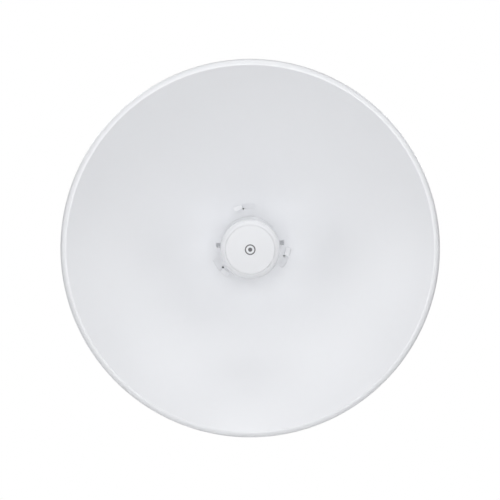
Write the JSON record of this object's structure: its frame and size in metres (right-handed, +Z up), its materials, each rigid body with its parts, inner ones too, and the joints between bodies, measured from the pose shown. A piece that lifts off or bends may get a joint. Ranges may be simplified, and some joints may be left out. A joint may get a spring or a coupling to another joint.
{
  "type": "outdoor wireless bridge",
  "caption": "Round white parabolic dish with a central feed that holds the radio, a twist-lock rear housing, an elevation bracket and a two-bolt pole clamp.",
  "frame": {"origin": "on the pole's axis, at the height of the dish's axis, in the middle of the pole clamp", "axes": "+Z up along the pole; the dish looks along -Y; +X is to the right of a person who looks at the front of the dish"},
  "size_m": [0.42, 0.273, 0.42],
  "materials": {
    "powder_white": "smooth satin powder coat",
    "housing_white": "fine moulded texture",
    "disc_white": "satin moulded",
    "cast_grey": "die cast, satin",
    "zinc_steel": "zinc plated",
    "spring_steel": "drawn wire",
    "aluminium": "machined",
    "tin_plate": "tin plated sheet",
    "brass": "machined",
    "copper_foil": "printed copper",
    "black_rubber": "matt",
    "pad_grey": "soft gap pad",
    "board_green": "solder mask",
    "black_plastic": "moulded",
    "natural_plastic": "natural moulding",
    "button_grey": "moulded",
    "clear_plastic": "clear light pipe"
  },
  "bodies": {
    "pole_mount": {"pole_bracket": "cast_grey", "clamp_bolts": "zinc_steel", "tilt_pivot_bolt": "zinc_steel", "tilt_pivot_washers": "zinc_steel", "tilt_pivot_nut": "zinc_steel", "tilt_lock_bolts": "zinc_steel", "tilt_lock_washers": "zinc_steel", "tilt_lock_nuts": "zinc_steel"},
    "jaw": {"clamp_jaw": "cast_grey", "clamp_washers": "zinc_steel", "clamp_nuts": "zinc_steel"},
    "head": {"rear_housing": "housing_white", "tilt_bracket": "cast_grey", "bracket_screws": "zinc_steel", "lever_pin": "zinc_steel", "lever_spring": "spring_steel"},
    "lever": {"release_lever": "housing_white"},
    "door": {"cable_door": "housing_white", "cable_grommet": "black_rubber"},
    "dish": {"dish_reflector": "powder_white"},
    "feed": {"feed_tube": "housing_white", "feed_cap": "housing_white", "cap_disc": "disc_white", "tail_cap": "housing_white", "tail_seal": "black_rubber", "tail_screws": "zinc_steel", "splash_plate": "aluminium", "feed_horn": "aluminium", "horn_support": "natural_plastic", "radiator_patch": "copper_foil", "radio_board": "board_green", "thermal_pad": "pad_grey", "heat_spreader": "aluminium", "tail_posts": "brass", "board_screws": "zinc_steel", "radio_shield": "tin_plate", "processor_shield": "tin_plate", "ethernet_transformer": "black_plastic", "ethernet_jack": "tin_plate", "light_guide": "clear_plastic", "reset_switch": "black_plastic"},
    "reset": {"reset_button": "button_grey"}
  },
  "joints": [
    {"name": "elevation_tilt", "type": "hinge", "parent": "pole_mount", "child": "head", "pos_m": [0, -0.058, 0], "axis": [-1, 0, 0], "range_deg": [-20, 20]},
    {"name": "clamp_close", "type": "slide", "parent": "pole_mount", "child": "jaw", "axis": [0, 1, 0], "range_m": [-0.012, 0.02]},
    {"name": "dish_twist", "type": "hinge", "parent": "head", "child": "dish", "pos_m": [0, -0.12, 0], "axis": [0, -1, 0], "range_deg": [0, 17]},
    {"name": "feed_pull", "type": "slide", "parent": "head", "child": "feed", "axis": [0, -1, 0], "range_m": [0, 0.055]},
    {"name": "release_press", "type": "hinge", "parent": "head", "child": "lever", "pos_m": [0, -0.097, 0.0502], "axis": [-1, 0, 0], "range_deg": [0, 5], "stiffness_Nm_per_rad": 0.8, "springref_deg": -1.72, "deforming": ["lever_spring"]},
    {"name": "door_slide", "type": "slide", "parent": "head", "child": "door", "axis": [0, 1, 0], "range_m": [0, 0.024]},
    {"name": "reset_press", "type": "slide", "parent": "feed", "child": "reset", "axis": [0, 0, 1], "range_m": [0, 0.0008], "stiffness_N_per_m": 1500, "springref_m": -0.0005}
  ]
}
